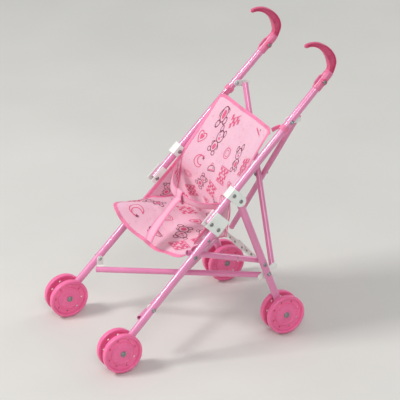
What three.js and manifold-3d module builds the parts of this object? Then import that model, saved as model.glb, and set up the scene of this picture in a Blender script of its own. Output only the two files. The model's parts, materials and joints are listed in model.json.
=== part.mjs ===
// A doll's umbrella stroller: two leaning side frames of steel tube, crossed stays behind
// and below the seat, a two-piece spreader, a sewn sling seat and four twin wheels.
// Millimetres, +Z up, the child faces -Y. Heights count from a base line near the floor, and
// the finished stroller is set down so that its wheels touch z = 0.
import * as THREE from "three";
import { mergeVertices } from "three/addons/utils/BufferGeometryUtils.js";
import Module from "manifold-3d";

const wasm = await Module();
wasm.setup();

// ---- Driving dimensions -------------------------------------------------------------
const WHEEL_RADIUS = 36;
const AXLE_Z = 38.6; // axles above the base line
const WHEELBASE = 319; // front axle to rear axle
const TRACK_HALF = 116.5; // centre plane to a side frame, at the floor
const LEAN = 0.035; // radians that each side frame leans in
const LEG_SLOPE = Math.PI / 4; // front leg and push tube above the floor

const MAIN_R = 6.75; // push tubes and legs
const STAY_R = 5.25; // side links and crossed stays
const TUBE_WALL = 0.9;
const TUBE_SIDES = 16;
const PIN_SIDES = 8;

const KNEE_ALONG = 268; // front axle to the knee, along the front leg
const LEG_GAP = 4.5; // between a front leg and its push tube
const STAGGER = 2 * MAIN_R + LEG_GAP; // front leg behind the push tube, axis to axis
const FRONT_STUB = 20; // front leg above the knee
const PUSH_STUB = 2; // push tube below the knee
const UPPER_ALONG = 62.8; // knee to the upper bracket's pivots
const STAY_TOP_ALONG = 223.4; // knee to the back stay's clip
const GRIP_SCREW_ALONG = 312; // knee to the grip's screw
const PUSH_TOP_ALONG = 328; // knee to the push tube's top
const LINK_ALONG = -61.8; // knee to the side link's front pin
const FRONT_CLIP_RISE = 90.4; // front axle to the front clip's rivet
const LEG_OVERRUN = 8; // legs past their end pins
const LINK_OVERRUN = 5.5; // side link past its front pin

const REAR_LINK_ALONG = 139.5; // rear leg pivot to the side link's rear pin
const REAR_CLIP_ALONG = 160.5; // rear leg pivot to the rear clip's rivet
const LINK_LAYER = MAIN_R + STAY_R + 4.4; // side link's axis inboard of the side frame

const PIN_R = 1.9;
const PIN_CLEAR = 0.35; // round a pin, and between faces that touch
const HEAD_R = 3.6;
const HEAD_H = 1.5;
const SHEET = 1.5; // bracket and clip plate

const WHEEL_INNER = MAIN_R + 1.25; // side frame's plane to a wheel's inner face
const WHEEL_WIDTH = 10;
const AXLE_R = 2.2;

const STAY_INSET = LINK_LAYER + 5.6; // stay end inboard of the side frame
const STAY_CROSS_GAP = 6; // each crossed stay off their middle plane
const RIVET_HOLE = [PIN_CLEAR, PIN_CLEAR]; // room beside and along, in the rear back stay
const RIVET_SLOT = [2.3, 4.6]; // the same in the front back stay
const BACK_TOP_INSET = 15;
// y, z of the stays' ends, from the rivets of the clips that hold them
const BASE_FRONT_OFF = [-13.91, -18.5];
const BASE_REAR_OFF = [-0.81, -19.58];
const BACK_FOOT_OFF = [28.19, -5.58];
const BACK_TOP_OFF = [18.25, 0.2];

const SEAT_HALF = 93; // sling's half width
const SEAT_THICK = 4;
const BACK_SAG = 12; // sling's back behind the push tubes' axes, low down
const SEAT_DROP = [1.3, -84.8]; // y, z from there to the seam between back and base

// ---- Materials ------------------------------------------------------------------------
const MATERIALS = {
  paint: new THREE.MeshStandardMaterial({ color: 0xee8fbe, roughness: 0.3, metalness: 0.1 }),
  grip: new THREE.MeshStandardMaterial({ color: 0xe0507f, roughness: 0.4, metalness: 0 }),
  wheel: new THREE.MeshStandardMaterial({ color: 0xff4fa6, roughness: 0.35, metalness: 0 }),
  white: new THREE.MeshStandardMaterial({ color: 0xf1f3ee, roughness: 0.45, metalness: 0 }),
  steel: new THREE.MeshStandardMaterial({ color: 0x8d9095, roughness: 0.35, metalness: 0.9 }),
  fabric: new THREE.MeshStandardMaterial({ color: 0xf3bcd0, roughness: 0.9, metalness: 0 }),
};

// ---- Solids -----------------------------------------------------------------------------
// A closed three.js geometry as a solid whose faces point outwards.
function solid(geometry) {
  const bare = geometry.index ? geometry.toNonIndexed() : geometry.clone();
  bare.deleteAttribute("normal");
  bare.deleteAttribute("uv");
  const merged = mergeVertices(bare, 1e-3);
  const triVerts = new Uint32Array(merged.index.array);
  const vertProperties = merged.attributes.position.array;
  const made = new wasm.Manifold(new wasm.Mesh({ numProp: 3, vertProperties, triVerts }));
  if (made.volume() > 0) return made;
  for (let i = 0; i < triVerts.length; i += 3) {
    [triVerts[i + 1], triVerts[i + 2]] = [triVerts[i + 2], triVerts[i + 1]];
  }
  return new wasm.Manifold(new wasm.Mesh({ numProp: 3, vertProperties, triVerts }));
}

function geometryOf(manifold) {
  const mesh = manifold.getMesh();
  const geometry = new THREE.BufferGeometry();
  const stride = mesh.numProp;
  const positions = new Float32Array(mesh.numVert * 3);
  for (let i = 0; i < mesh.numVert; i += 1) {
    positions.set(mesh.vertProperties.subarray(i * stride, i * stride + 3), i * 3);
  }
  geometry.setAttribute("position", new THREE.BufferAttribute(positions, 3));
  geometry.setIndex(new THREE.BufferAttribute(mesh.triVerts, 1));
  geometry.computeVertexNormals();
  return geometry;
}

function carve(base, cutters) {
  let made = solid(base);
  for (const cutter of cutters) made = made.subtract(solid(cutter));
  return geometryOf(made);
}

// Turns a shape made along +Y so that it runs from a to b.
function between(geometry, a, b) {
  const from = new THREE.Vector3(...a);
  const to = new THREE.Vector3(...b);
  const turn = new THREE.Quaternion().setFromUnitVectors(
    new THREE.Vector3(0, 1, 0),
    to.clone().sub(from).normalize(),
  );
  return geometry.applyQuaternion(turn).translate(from.x, from.y, from.z);
}

function distance(a, b) {
  return new THREE.Vector3(...a).distanceTo(new THREE.Vector3(...b));
}

function rod(a, b, radius, sides = TUBE_SIDES) {
  const length = distance(a, b);
  const bar = new THREE.CylinderGeometry(radius, radius, length, sides);
  return between(bar.translate(0, length / 2, 0), a, b);
}

// An open-ended tube as a closed ring profile turned round its axis.
function tube(a, b, radius) {
  const length = distance(a, b);
  const inner = radius - TUBE_WALL;
  const profile = [
    [inner, 0],
    [radius, 0],
    [radius, length],
    [inner, length],
    [inner, 0],
  ].map(([r, h]) => new THREE.Vector2(r, h));
  return between(new THREE.LatheGeometry(profile, TUBE_SIDES), a, b);
}

// A turned piece on an axis parallel to x, from [x, radius] pairs that start and end on it.
function turned(profile, [y, z], segments) {
  const points = profile.map(([x, r]) => new THREE.Vector2(r, x));
  const lathe = new THREE.LatheGeometry(points, segments);
  return lathe.rotateZ(-Math.PI / 2).translate(0, y, z);
}

function hole([y, z], radius = PIN_R + PIN_CLEAR) {
  const reach = TRACK_HALF;
  return rod([-reach, y, z], [reach, y, z], radius, PIN_SIDES);
}

// A rivet with a low domed head at each end, from x0 to x1 under the heads.
function rivet(centre, x0, x1) {
  const dome = HEAD_R * 0.6;
  return turned(
    [
      [x0 - HEAD_H, 0],
      [x0 - HEAD_H, dome],
      [x0 - HEAD_H / 2, HEAD_R],
      [x0, HEAD_R],
      [x0, PIN_R],
      [x1, PIN_R],
      [x1, HEAD_R],
      [x1 + HEAD_H / 2, HEAD_R],
      [x1 + HEAD_H, dome],
      [x1 + HEAD_H, 0],
    ],
    centre,
    PIN_SIDES,
  );
}

// An outline of [y, z] points as a plate from x0 to x1.
function plate(outline, x0, x1) {
  const shape = new THREE.Shape(outline.map(([y, z]) => new THREE.Vector2(y, z)));
  const slab = new THREE.ExtrudeGeometry(shape, { depth: x1 - x0, bevelEnabled: false });
  const axes = new THREE.Matrix4().makeBasis(
    new THREE.Vector3(0, 1, 0),
    new THREE.Vector3(0, 0, 1),
    new THREE.Vector3(1, 0, 0),
  );
  return slab.applyMatrix4(axes).translate(x0, 0, 0);
}

function roundEnd(centre, radius, fromAngle, toAngle, steps = 6) {
  return Array.from({ length: steps + 1 }, (unused, i) => {
    const angle = fromAngle + ((toAngle - fromAngle) * i) / steps;
    return [centre[0] + radius * Math.cos(angle), centre[1] + radius * Math.sin(angle)];
  });
}

// ---- Places in a side frame's own plane ------------------------------------------------
const WHEEL_EDGE = 1; // bevel at a wheel's tread
const slopeY = Math.cos(LEG_SLOPE);
const slopeZ = Math.sin(LEG_SLOPE);
const FRONT_AXLE = [0, AXLE_Z];
const REAR_AXLE = [WHEELBASE, AXLE_Z];
const KNEE = [
  KNEE_ALONG * slopeY - STAGGER * slopeZ,
  AXLE_Z + KNEE_ALONG * slopeZ + STAGGER * slopeY,
];

// A point a distance up the push tube from the knee, and a distance behind its axis.
function onPush(along, behind = 0) {
  return [
    KNEE[0] + along * slopeY + behind * slopeZ,
    KNEE[1] + along * slopeZ - behind * slopeY,
  ];
}

const REAR_PIVOT = onPush(UPPER_ALONG, STAGGER);
const rearLength = Math.hypot(REAR_AXLE[0] - REAR_PIVOT[0], REAR_AXLE[1] - REAR_PIVOT[1]);
const rearY = (REAR_AXLE[0] - REAR_PIVOT[0]) / rearLength;
const rearZ = (REAR_AXLE[1] - REAR_PIVOT[1]) / rearLength;

// A point a distance down the rear leg from its pivot, and a distance behind its axis.
function onRear(along, behind = 0) {
  return [
    REAR_PIVOT[0] + along * rearY - behind * rearZ,
    REAR_PIVOT[1] + along * rearZ + behind * rearY,
  ];
}

const LINK_FRONT = onPush(LINK_ALONG, STAGGER);
const LINK_REAR = onRear(REAR_LINK_ALONG);
const GRIP_SCREW = onPush(GRIP_SCREW_ALONG);
const FRONT_CLIP = onPush(FRONT_CLIP_RISE - KNEE_ALONG, STAGGER);
const REAR_CLIP = onRear(REAR_CLIP_ALONG);
const TOP_CLIP = onPush(STAY_TOP_ALONG);

const offset = ([y, z], [dy, dz]) => [y + dy, z + dz];
const BASE_FRONT = offset(FRONT_CLIP, BASE_FRONT_OFF);
const BASE_REAR = offset(REAR_CLIP, BASE_REAR_OFF);
const BACK_FOOT = offset(REAR_CLIP, BACK_FOOT_OFF);
const BACK_TOP = offset(TOP_CLIP, BACK_TOP_OFF);

// The middle of a side frame at a height, measured from the centre plane.
function frameX(z) {
  return TRACK_HALF - z * Math.tan(LEAN);
}

// ---- Side frame: tubes -------------------------------------------------------------------
const flat = ([y, z], x = 0) => [x, y, z];

function pushTube() {
  const body = tube(flat(onPush(-PUSH_STUB)), flat(onPush(PUSH_TOP_ALONG)), MAIN_R);
  const pins = [KNEE, onPush(UPPER_ALONG), TOP_CLIP, GRIP_SCREW];
  return carve(body, pins.map((pin) => hole(pin)));
}

function frontLeg() {
  const foot = onPush(-KNEE_ALONG - LEG_OVERRUN, STAGGER);
  const body = tube(flat(foot), flat(onPush(FRONT_STUB, STAGGER)), MAIN_R);
  return carve(body, [
    hole(onPush(0, STAGGER)),
    hole(LINK_FRONT),
    hole(FRONT_CLIP),
    hole(FRONT_AXLE, AXLE_R + PIN_CLEAR),
  ]);
}

function rearLeg() {
  const body = tube(
    flat(onRear(-LEG_OVERRUN)),
    flat(onRear(rearLength + LEG_OVERRUN)),
    MAIN_R,
  );
  return carve(body, [
    hole(REAR_PIVOT),
    hole(LINK_REAR),
    hole(REAR_CLIP),
    hole(REAR_AXLE, AXLE_R + PIN_CLEAR),
  ]);
}

function sideLink() {
  const y = LINK_REAR[0] - LINK_FRONT[0];
  const z = LINK_REAR[1] - LINK_FRONT[1];
  const length = Math.hypot(y, z);
  const along = (run) => [(y * run) / length, (z * run) / length];
  const front = offset(LINK_FRONT, along(-LINK_OVERRUN));
  const rear = offset(LINK_REAR, along(LEG_OVERRUN));
  return carve(tube(flat(front, -LINK_LAYER), flat(rear, -LINK_LAYER), STAY_R), [
    hole(LINK_FRONT),
  ]);
}

// ---- Side frame: brackets and clips --------------------------------------------------------
const CHEEK_IN = MAIN_R + PIN_CLEAR;
const CHEEK_OUT = CHEEK_IN + SHEET;
const CHANNEL_REACH = 60; // cutter past an open side

// A channel whose web closes one side of an outline, with pin holes through both cheeks.
function channel(outline, gutter, pins) {
  return carve(plate(outline, -CHEEK_OUT, CHEEK_OUT), [
    plate(gutter, -CHEEK_IN, CHEEK_IN),
    ...pins.map((pin) => hole(pin)),
  ]);
}

// Fixed on the push tube with its web in front, open behind for the rear leg.
function upperBracket() {
  const half = 10.5;
  const behind = STAGGER;
  const turn = LEG_SLOPE - Math.PI / 2;
  const outline = [
    onPush(UPPER_ALONG + half, -CHEEK_OUT),
    onPush(UPPER_ALONG - half, -CHEEK_OUT),
    ...roundEnd(onPush(UPPER_ALONG, behind), half, turn - Math.PI / 2, turn + Math.PI / 2),
  ];
  const gutter = [
    onPush(UPPER_ALONG + CHANNEL_REACH, -CHEEK_IN),
    onPush(UPPER_ALONG - CHANNEL_REACH, -CHEEK_IN),
    onPush(UPPER_ALONG - CHANNEL_REACH, CHANNEL_REACH),
    onPush(UPPER_ALONG + CHANNEL_REACH, CHANNEL_REACH),
  ];
  return channel(outline, gutter, [onPush(UPPER_ALONG), REAR_PIVOT]);
}

const KNEE_BELOW = 10; // knee bracket's ends below and above the knee
const KNEE_ABOVE = 23;

// Fixed on the front leg with its web behind, open in front for the push tube.
function kneeBracket() {
  const low = -KNEE_BELOW;
  const high = KNEE_ABOVE;
  const back = STAGGER + CHEEK_OUT;
  const front = -MAIN_R;
  const outline = [
    onPush(high, front),
    onPush(low, front),
    onPush(low, back),
    onPush(high, back),
  ];
  const gutter = [
    onPush(CHANNEL_REACH, -CHANNEL_REACH),
    onPush(-CHANNEL_REACH, -CHANNEL_REACH),
    onPush(-CHANNEL_REACH, STAGGER + CHEEK_IN),
    onPush(CHANNEL_REACH, STAGGER + CHEEK_IN),
  ];
  return channel(outline, gutter, [KNEE, onPush(0, STAGGER)]);
}

const CLIP_HALF = 6; // half a clip's width
const TAB_END = -STAY_INSET + STAY_R - 0.8; // tab's inboard end, short of the stay
const TAB_ROOM = 2; // tab's upper face above the stay
const STUD_SINK = 0.2; // stud's inner head in its clip

// A clip on the front leg's inner face, with a tab that bends in over the stay's end.
function frontClip() {
  const tabZ = BASE_FRONT[1] + STAY_R + TAB_ROOM;
  const foot = [FRONT_CLIP[0] + CLIP_HALF, tabZ];
  const ear = plate(
    [
      ...roundEnd(FRONT_CLIP, CLIP_HALF, 0, Math.PI),
      [foot[0] - 2 * CLIP_HALF, foot[1]],
      foot,
    ],
    -CHEEK_OUT,
    -CHEEK_IN,
  );
  const tab = plate(
    [
      [foot[0] - 2 * CLIP_HALF, foot[1] - SHEET],
      [foot[0], foot[1] - SHEET],
      [foot[0], foot[1]],
      [foot[0] - 2 * CLIP_HALF, foot[1]],
    ],
    TAB_END,
    -CHEEK_IN,
  );
  return studded(solid(ear).add(solid(tab)), FRONT_CLIP);
}

// Rivets a clip on: a stud through the tube, headed on its outer face.
function studded(clip, centre) {
  const stud = turned(
    [
      [-CHEEK_OUT - HEAD_H, 0],
      [-CHEEK_OUT - HEAD_H, HEAD_R],
      [-CHEEK_OUT + STUD_SINK, HEAD_R],
      [-CHEEK_OUT + STUD_SINK, PIN_R],
      [CHEEK_IN, PIN_R],
      [CHEEK_IN, HEAD_R],
      [CHEEK_IN + HEAD_H, HEAD_R * 0.6],
      [CHEEK_IN + HEAD_H, 0],
    ],
    centre,
    PIN_SIDES,
  );
  return geometryOf(clip.add(solid(stud)));
}

const REAR_EAR = 19; // rear clip's ears behind and before the leg's axis
const FRONT_EAR = 11;

// A clip across the rear leg's inner face: an ear behind it for the back stay and one in
// front for the base stay.
function rearClip() {
  const rear = onRear(REAR_CLIP_ALONG, REAR_EAR);
  const front = onRear(REAR_CLIP_ALONG + CLIP_HALF, -FRONT_EAR);
  const turn = Math.atan2(rearY, -rearZ);
  const outline = [
    ...roundEnd(rear, CLIP_HALF, turn - Math.PI / 2, turn + Math.PI / 2),
    ...roundEnd(front, CLIP_HALF, turn + Math.PI / 2, turn + 1.5 * Math.PI),
  ];
  return studded(solid(plate(outline, -CHEEK_OUT, -CHEEK_IN)), REAR_CLIP);
}

// A clip on the push tube's inner face that reaches back to the back stay's top.
function topClip() {
  const rear = offset(BACK_TOP, [1, -3]);
  const outline = [
    ...roundEnd(rear, CLIP_HALF, -Math.PI / 2, Math.PI / 2),
    ...roundEnd(TOP_CLIP, CLIP_HALF, Math.PI / 2, 1.5 * Math.PI),
  ];
  return studded(solid(plate(outline, -CHEEK_OUT, -CHEEK_IN)), TOP_CLIP);
}

// ---- Side frame: grip ------------------------------------------------------------------------
// Rings round a centreline in the frame's plane, each [along, behind, half depth, half width].
function loft(stations, sides) {
  const positions = [];
  const index = [];
  stations.forEach(([along, behind, depth, width], i) => {
    const before = stations[Math.max(i - 1, 0)];
    const after = stations[Math.min(i + 1, stations.length - 1)];
    const turn = Math.atan2(after[1] - before[1], after[0] - before[0]);
    for (let k = 0; k < sides; k += 1) {
      const angle = (2 * Math.PI * k) / sides;
      const out = depth * Math.cos(angle);
      const [y, z] = onPush(along - out * Math.sin(turn), behind + out * Math.cos(turn));
      positions.push(width * Math.sin(angle), y, z);
    }
  });
  const last = (stations.length - 1) * sides;
  for (let i = 0; i < last; i += sides) {
    for (let k = 0; k < sides; k += 1) {
      const next = (k + 1) % sides;
      index.push(i + k, i + next, i + sides + k);
      index.push(i + next, i + sides + next, i + sides + k);
    }
  }
  for (let k = 1; k < sides - 1; k += 1) {
    index.push(0, k + 1, k);
    index.push(last, last + k, last + k + 1);
  }
  const geometry = new THREE.BufferGeometry();
  geometry.setAttribute("position", new THREE.Float32BufferAttribute(positions, 3));
  geometry.setIndex(index);
  return geometry;
}

const SOCKET_R = MAIN_R + 2.1;
const SOCKET_LENGTH = 34; // grip's socket over the push tube
const HOOK_REACH = 35; // half the hook's depth
const HOOK_RISE = 28;
const HOOK_TURN = 2.75; // radians of hook

function grip() {
  const mouth = PUSH_TOP_ALONG - SOCKET_LENGTH;
  const stations = [
    [mouth, 0, SOCKET_R, SOCKET_R],
    [PUSH_TOP_ALONG - 6, 0, SOCKET_R, SOCKET_R],
  ];
  const steps = 9;
  for (let i = 0; i <= steps; i += 1) {
    const share = i / steps;
    const angle = HOOK_TURN * share;
    const swell = SOCKET_R + 0.6 * Math.sin(Math.PI * share) - 4.2 * share * share;
    stations.push([
      PUSH_TOP_ALONG + HOOK_RISE * Math.sin(angle),
      -HOOK_REACH * (1 - Math.cos(angle)),
      swell,
      swell * 0.92,
    ]);
  }
  const [along, behind, depth, width] = stations[stations.length - 1];
  stations.push([along - 4, behind - 2, depth * 0.6, width * 0.6]);
  const bore = rod(flat(onPush(0)), flat(onPush(PUSH_TOP_ALONG + 1)), MAIN_R + PIN_CLEAR);
  return carve(loft(stations, 12), [bore, hole(GRIP_SCREW)]);
}

// ---- Side frame: wheels -----------------------------------------------------------------------
const RIM_DEPTH = 5; // tread to the dish
const HUB_R = 8;
const HUB_OUT = WHEEL_INNER + 8.5;

// A dished disc with a flat tread and a hub, bored for the axle.
function wheel(centre, side) {
  const outer = WHEEL_INNER + WHEEL_WIDTH;
  const dishIn = WHEEL_INNER + 2.5;
  const dishOut = WHEEL_INNER + 4.5;
  const bore = AXLE_R + PIN_CLEAR;
  const rim = WHEEL_RADIUS - RIM_DEPTH;
  const hubIn = CHEEK_IN + 0.4;
  const profile = [
    [hubIn, bore],
    [hubIn, HUB_R],
    [dishIn, HUB_R],
    [dishIn, rim],
    [WHEEL_INNER, rim],
    [WHEEL_INNER, WHEEL_RADIUS - WHEEL_EDGE],
    [WHEEL_INNER + WHEEL_EDGE, WHEEL_RADIUS],
    [outer - WHEEL_EDGE, WHEEL_RADIUS],
    [outer, WHEEL_RADIUS - WHEEL_EDGE],
    [outer, rim],
    [dishOut, rim - 2],
    [dishOut, HUB_R + 1],
    [HUB_OUT, HUB_R - 2],
    [HUB_OUT, bore],
    [hubIn, bore],
  ];
  return turned(profile.map(([x, r]) => [side * x, r]), centre, 16);
}

function axle(centre) {
  const end = HUB_OUT + PIN_CLEAR;
  const head = AXLE_R + 1.8;
  return turned(
    [
      [-end - 2, 0],
      [-end - 2, head - 1],
      [-end, head],
      [-end, AXLE_R],
      [end, AXLE_R],
      [end, head],
      [end + 2, head - 1],
      [end + 2, 0],
    ],
    centre,
    PIN_SIDES,
  );
}

// ---- Between the side frames -------------------------------------------------------------------
// A stay's two ends, from one side's low place to the other side's.
function stayEnds(a, insetA, b, insetB, side) {
  return [
    [side * (frameX(a[1]) - insetA), a[0], a[1]],
    [-side * (frameX(b[1]) - insetB), b[0], b[1]],
  ];
}

// side is the side of the stay's front end. The two stand apart in height where they cross.
function baseStay(side, lift) {
  const [a, b] = stayEnds(BASE_FRONT, STAY_INSET, BASE_REAR, STAY_INSET, side);
  a[2] += lift;
  b[2] += lift;
  return tube(a, b, STAY_R);
}

// Where a stay crosses the centre plane.
function crossing([a, b]) {
  const share = a[0] / (a[0] - b[0]);
  return a.map((value, i) => value + (b[i] - value) * share);
}

function backStayEnds(side) {
  return stayEnds(BACK_TOP, BACK_TOP_INSET, BACK_FOOT, STAY_INSET, side);
}

// side is the side of the stay's top. The two stand apart in depth where they cross. The
// slot lets the stay creep along the rivet as the sides close.
function backStay(side, push, slotHalf) {
  const [a, b] = backStayEnds(side);
  const [x, y, z] = crossing([a, b]);
  const width = 2 * (PIN_R + slotHalf[0]);
  const length = 2 * (PIN_R + slotHalf[1]);
  const slot = new THREE.BoxGeometry(width, 4 * STAY_R + 2 * STAY_CROSS_GAP, length);
  slot.rotateY(Math.atan2(b[0] - a[0], b[2] - a[2])).translate(x, y, z);
  a[1] += push;
  b[1] += push;
  return carve(tube(a, b, STAY_R), [slot]);
}

const ON_AXIS = [0, 0];
const HEAD_ROOM = 0.9; // under the front head, where the stay creeps

// The rivet that the back stays turn on, headed in front and behind.
function backStayRivet() {
  const [, y, z] = crossing(backStayEnds(1));
  const reach = STAY_CROSS_GAP + STAY_R + PIN_CLEAR;
  const made = rivet(ON_AXIS, -reach - HEAD_ROOM, reach);
  return made.rotateZ(Math.PI / 2).translate(0, y, z);
}

const SPREADER_END = 5; // half the strip's height at its outer end
const SPREADER_BEHIND = MAIN_R - 1; // spreader's plane behind the rear leg's axis
const SPREADER_INSET = CHEEK_OUT + SPREADER_END + 0.4; // its outer pivot from the side frame
const SPREADER_OVERLAP = 8;
const SPREADER_MIDDLE = 7.5;

// One half of the spreader, in its own plane: x runs in from its pivot.
function spreaderHalf(side, layer) {
  const [y, z] = onRear(REAR_CLIP_ALONG, SPREADER_BEHIND);
  const outer = frameX(z) - SPREADER_INSET;
  const inner = -SPREADER_OVERLAP;
  const shape = new THREE.Shape();
  shape.moveTo(outer, -SPREADER_END);
  shape.absarc(outer, 0, SPREADER_END, -Math.PI / 2, Math.PI / 2, false);
  shape.lineTo(outer * 0.45, SPREADER_END);
  shape.lineTo(inner, SPREADER_MIDDLE);
  shape.absarc(inner, 0, SPREADER_MIDDLE, Math.PI / 2, 1.5 * Math.PI, false);
  shape.lineTo(outer * 0.2, -SPREADER_MIDDLE);
  shape.lineTo(outer * 0.45, -SPREADER_END);
  const strip = new THREE.ExtrudeGeometry(shape, {
    depth: SHEET,
    bevelEnabled: false,
    curveSegments: 6,
  });
  const upright = new THREE.Matrix4().makeBasis(
    new THREE.Vector3(side, 0, 0),
    new THREE.Vector3(0, 0, 1),
    new THREE.Vector3(0, 1, 0),
  );
  strip.translate(0, 0, layer).applyMatrix4(upright).translate(0, y, z);
  return strip;
}

// ---- Sling seat ----------------------------------------------------------------------------------
// A sheet that is as wide as the sling and follows a line of [y, z] points.
function sling(line, half) {
  const lower = line.map(([y, z], i) => {
    const before = line[Math.max(i - 1, 0)];
    const after = line[Math.min(i + 1, line.length - 1)];
    const turn = Math.atan2(after[1] - before[1], after[0] - before[0]);
    return [y + SEAT_THICK * Math.sin(turn), z - SEAT_THICK * Math.cos(turn)];
  });
  return plate([...line, ...lower.reverse()], -half, half);
}

const BACK_TOP_SEAM = onPush(196, 3);
const BACK_LOW = onPush(60, BACK_SAG);
const FOLD_LINE = offset(BACK_LOW, SEAT_DROP);
// Lines of the cloth as [y, z] from the fold line.
const BASE_LINE = [[-131, -2], [-107, 4], [-79, 8], [-39, 5], [-1.5, 1]];
const SIDE_OUTLINE = [[-77, 22], [-73, 11], [-7, 8], [-4, 45], [-14, 78]];
const STRAP_LINE = [[-113, 7], [-79, 27], [-59, 44]];
const seatPoints = (line) => line.map((point) => offset(FOLD_LINE, point));

function seatBack() {
  const bulge = offset(FOLD_LINE, [4, 42]);
  return sling([FOLD_LINE, bulge, BACK_LOW, onPush(120, BACK_SAG / 2), BACK_TOP_SEAM], SEAT_HALF);
}

function seatBase() {
  return sling(seatPoints(BASE_LINE), SEAT_HALF);
}

// The fabric triangle that closes a side between the tube, the back and the base.
function seatSide(side) {
  const inner = SEAT_HALF + 1;
  const outer = inner + 2;
  const outline = seatPoints(SIDE_OUTLINE);
  return plate(outline, side > 0 ? inner : -outer, side > 0 ? outer : -inner);
}

const BELT_WIDTH = 15;
const BELT_THICK = 2;
const [BELT_BACK, BELT_Z] = offset(FOLD_LINE, [-24, 56]); // belt's ends
const BELT_FRONT = BELT_BACK - 21;

function lapBelt() {
  const shape = new THREE.Shape();
  const half = SEAT_HALF - 2;
  const bow = (x) => BELT_FRONT + (BELT_BACK - BELT_FRONT) * (x / half) ** 2;
  const steps = 10;
  const places = Array.from({ length: steps + 1 }, (unused, i) => half * ((2 * i) / steps - 1));
  const outline = [
    ...places.map((x) => new THREE.Vector2(x, bow(x))),
    ...places.reverse().map((x) => new THREE.Vector2(x, bow(x) + BELT_THICK)),
  ];
  shape.setFromPoints(outline);
  const band = new THREE.ExtrudeGeometry(shape, { depth: BELT_WIDTH, bevelEnabled: false });
  return band.translate(0, 0, BELT_Z - BELT_WIDTH / 2);
}

function crotchStrap() {
  const half = 10;
  const line = [...seatPoints(STRAP_LINE), [BELT_FRONT - BELT_THICK, BELT_Z]];
  const lower = line.map(([y, z]) => [y + BELT_THICK * 0.3, z - BELT_THICK * 0.6]);
  return plate([...line, ...lower.reverse()], -half, half);
}

// ---- Assembly ------------------------------------------------------------------------------------
const stroller = new THREE.Group();

function add(group, name, geometry, material) {
  const mesh = new THREE.Mesh(geometryOf(solid(geometry)), MATERIALS[material]);
  mesh.name = name;
  group.add(mesh);
}

function sideFrame(prefix) {
  const frame = new THREE.Group();
  const part = (name, geometry, material) => add(frame, prefix + name, geometry, material);
  part("push_tube", pushTube(), "paint");
  part("grip", grip(), "grip");
  const socket = SOCKET_R + PIN_CLEAR;
  part("grip_screw", rivet(GRIP_SCREW, -socket, socket), "steel");
  part("front_leg", frontLeg(), "paint");
  part("rear_leg", rearLeg(), "paint");
  part("side_link", sideLink(), "paint");
  part("upper_bracket", upperBracket(), "white");
  part("knee_bracket", kneeBracket(), "white");
  const cheek = CHEEK_OUT + PIN_CLEAR;
  part("upper_bracket_rivet", rivet(onPush(UPPER_ALONG), -cheek, cheek), "steel");
  part("rear_leg_pivot", rivet(REAR_PIVOT, -cheek, cheek), "steel");
  part("knee_pivot", rivet(KNEE, -cheek, cheek), "steel");
  part("knee_rivet", rivet(onPush(0, STAGGER), -cheek, cheek), "steel");
  const linkOut = LINK_LAYER + STAY_R + PIN_CLEAR;
  part("link_pin", rivet(LINK_FRONT, -linkOut, CHEEK_IN), "steel");
  part("rear_link_rivet", rivet(LINK_REAR, -CHEEK_IN, CHEEK_IN), "steel");
  part("front_clip", frontClip(), "white");
  part("rear_clip", rearClip(), "white");
  part("top_clip", topClip(), "white");
  for (const [end, centre] of [["front", FRONT_AXLE], ["rear", REAR_AXLE]]) {
    part(end + "_axle", axle(centre), "steel");
    part(end + "_wheel_outer", wheel(centre, 1), "wheel");
    part(end + "_wheel_inner", wheel(centre, -1), "wheel");
  }
  frame.position.x = TRACK_HALF;
  frame.rotation.y = -LEAN;
  return frame;
}

const mirrored = new THREE.Group();
mirrored.scale.x = -1;
mirrored.add(sideFrame("right_"));
stroller.add(sideFrame("left_"), mirrored);

add(stroller, "base_stay_upper", baseStay(-1, STAY_CROSS_GAP), "paint");
add(stroller, "base_stay_lower", baseStay(1, -STAY_CROSS_GAP), "paint");
add(stroller, "back_stay_front", backStay(-1, -STAY_CROSS_GAP, RIVET_SLOT), "paint");
add(stroller, "back_stay_rear", backStay(1, STAY_CROSS_GAP, RIVET_HOLE), "paint");
add(stroller, "back_stay_rivet", backStayRivet(), "steel");
add(stroller, "spreader_left", spreaderHalf(1, SHEET + PIN_CLEAR), "white");
add(stroller, "spreader_right", spreaderHalf(-1, 0), "white");
add(stroller, "seat_back", seatBack(), "fabric");
add(stroller, "seat_base", seatBase(), "fabric");
add(stroller, "seat_side_left", seatSide(1), "fabric");
add(stroller, "seat_side_right", seatSide(-1), "fabric");
add(stroller, "lap_belt", lapBelt(), "fabric");
add(stroller, "crotch_strap", crotchStrap(), "fabric");

// The origin is under the middle of the whole stroller, on the floor.
const whole = new THREE.Box3().setFromObject(stroller);
stroller.position.set(0, -(whole.min.y + whole.max.y) / 2, -whole.min.z);

export default stroller;
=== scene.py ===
"""A doll's umbrella stroller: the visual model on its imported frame. Metres, +Z up, the doll faces -Y."""
import json
import math
import random

import bmesh
import bpy
from mathutils import Matrix, Vector, noise


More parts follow.
